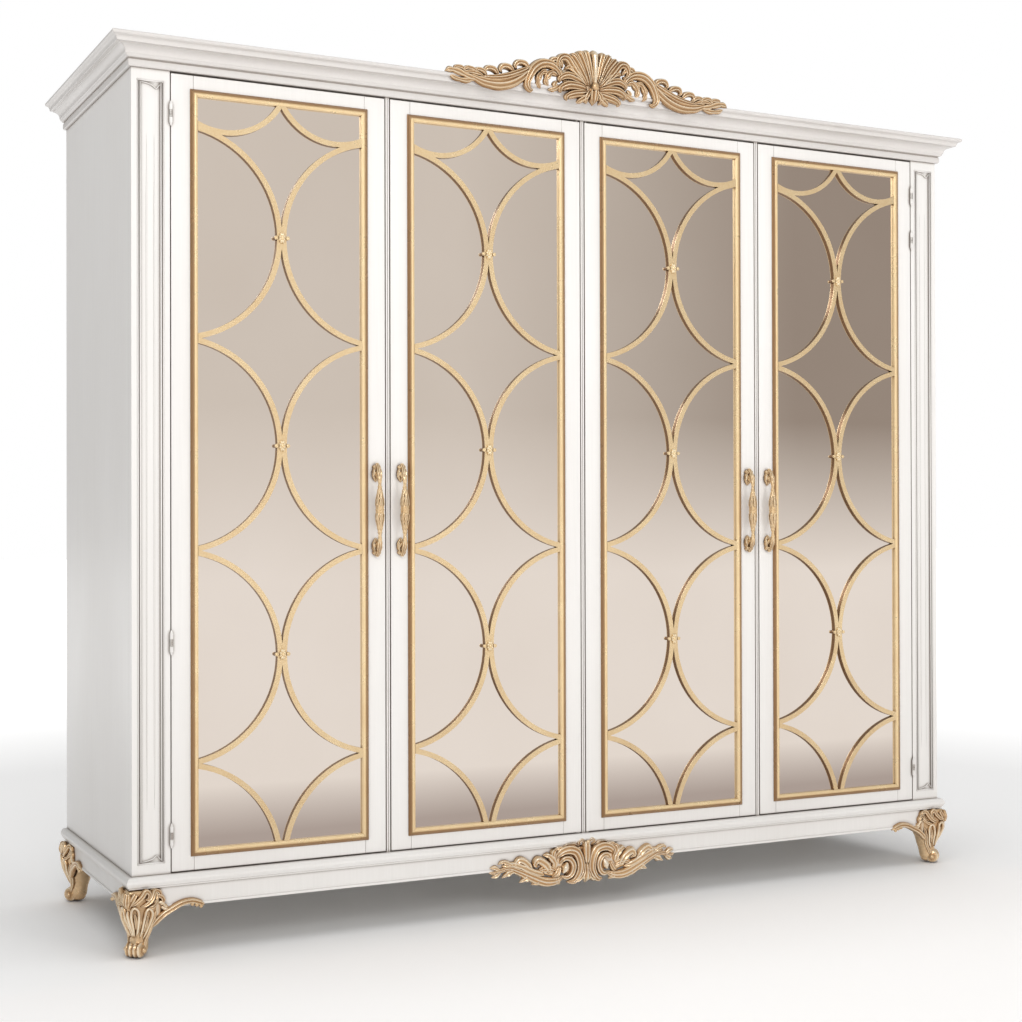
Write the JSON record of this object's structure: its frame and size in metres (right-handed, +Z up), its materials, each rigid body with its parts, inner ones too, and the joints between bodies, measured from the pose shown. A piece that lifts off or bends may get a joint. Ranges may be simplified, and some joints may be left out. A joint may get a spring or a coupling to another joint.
{
  "type": "armoire",
  "caption": "Wide mirrored wardrobe with hinged lattice doors, gilded mouldings, a moulded cornice with a carved crest, and carved cabriole bracket feet.",
  "frame": {"origin": "middle of the footprint, on the floor", "axes": "+Z up, +X along the width, doors face -Y"},
  "size_m": [2.408, 0.758, 2.154],
  "materials": {
    "painted_wood": "satin off-white paint with faint brushed grain",
    "interior_board": "smooth off-white lacquer",
    "gilded_carving": "antique gilding, worn in the hollows",
    "gilded_trim": "satin champagne gilding",
    "gilded_brass": "polished gilt casting",
    "nickel_steel": "satin nickel",
    "painted_hinge": "painted to match the frame",
    "mirror_glass": "silvered, faintly bronze"
  },
  "bodies": {
    "carcass": {"side_panel_left": "painted_wood", "side_panel_right": "painted_wood", "top_panel": "interior_board", "bottom_panel": "interior_board", "partition_left": "interior_board", "partition_centre": "interior_board", "partition_right": "interior_board", "back_panels": "interior_board", "pilaster_left": "painted_wood", "pilaster_right": "painted_wood", "mullions": "painted_wood", "cornice_front": "painted_wood", "cornice_left": "painted_wood", "cornice_right": "painted_wood", "cornice_cap": "painted_wood", "crest_carving": "gilded_carving", "base_moulding": "painted_wood", "base_frame": "painted_wood", "apron_carving": "gilded_carving", "foot_front_left": "gilded_carving", "foot_front_right": "gilded_carving", "foot_back_left": "gilded_carving", "foot_back_right": "gilded_carving", "hat_shelves": "interior_board", "centre_shelves": "interior_board", "hanging_rails": "nickel_steel", "rail_sockets": "nickel_steel", "shelf_pins": "nickel_steel", "hinges_fixed": "painted_hinge", "pivot_pins": "nickel_steel", "door_catches": "nickel_steel"},
    "door_1": {"door_1_frame": "painted_wood", "door_1_panel": "interior_board", "door_1_mirror": "mirror_glass", "door_1_gold_frame": "gilded_trim", "door_1_lattice": "gilded_trim", "door_1_handle": "gilded_brass", "door_1_hardware": "nickel_steel"},
    "door_2": {"door_2_frame": "painted_wood", "door_2_panel": "interior_board", "door_2_mirror": "mirror_glass", "door_2_gold_frame": "gilded_trim", "door_2_lattice": "gilded_trim", "door_2_handle": "gilded_brass", "door_2_hardware": "nickel_steel"},
    "door_3": {"door_3_frame": "painted_wood", "door_3_panel": "interior_board", "door_3_mirror": "mirror_glass", "door_3_gold_frame": "gilded_trim", "door_3_lattice": "gilded_trim", "door_3_handle": "gilded_brass", "door_3_hardware": "nickel_steel"},
    "door_4": {"door_4_frame": "painted_wood", "door_4_panel": "interior_board", "door_4_mirror": "mirror_glass", "door_4_gold_frame": "gilded_trim", "door_4_lattice": "gilded_trim", "door_4_handle": "gilded_brass", "door_4_hardware": "nickel_steel"}
  },
  "joints": [
    {"name": "door_1_hinge", "type": "hinge", "parent": "carcass", "child": "door_1", "pos_m": [-1.06095, -0.30525, 1.08], "axis": [0, 0, -1], "range_deg": [0, 110]},
    {"name": "door_2_hinge", "type": "hinge", "parent": "carcass", "child": "door_2", "pos_m": [-0.0131, -0.295, 1.08], "axis": [0, 0, 1], "range_deg": [0, 85]},
    {"name": "door_3_hinge", "type": "hinge", "parent": "carcass", "child": "door_3", "pos_m": [0.0131, -0.295, 1.08], "axis": [0, 0, -1], "range_deg": [0, 85]},
    {"name": "door_4_hinge", "type": "hinge", "parent": "carcass", "child": "door_4", "pos_m": [1.06095, -0.30525, 1.08], "axis": [0, 0, 1], "range_deg": [0, 110]}
  ]
}
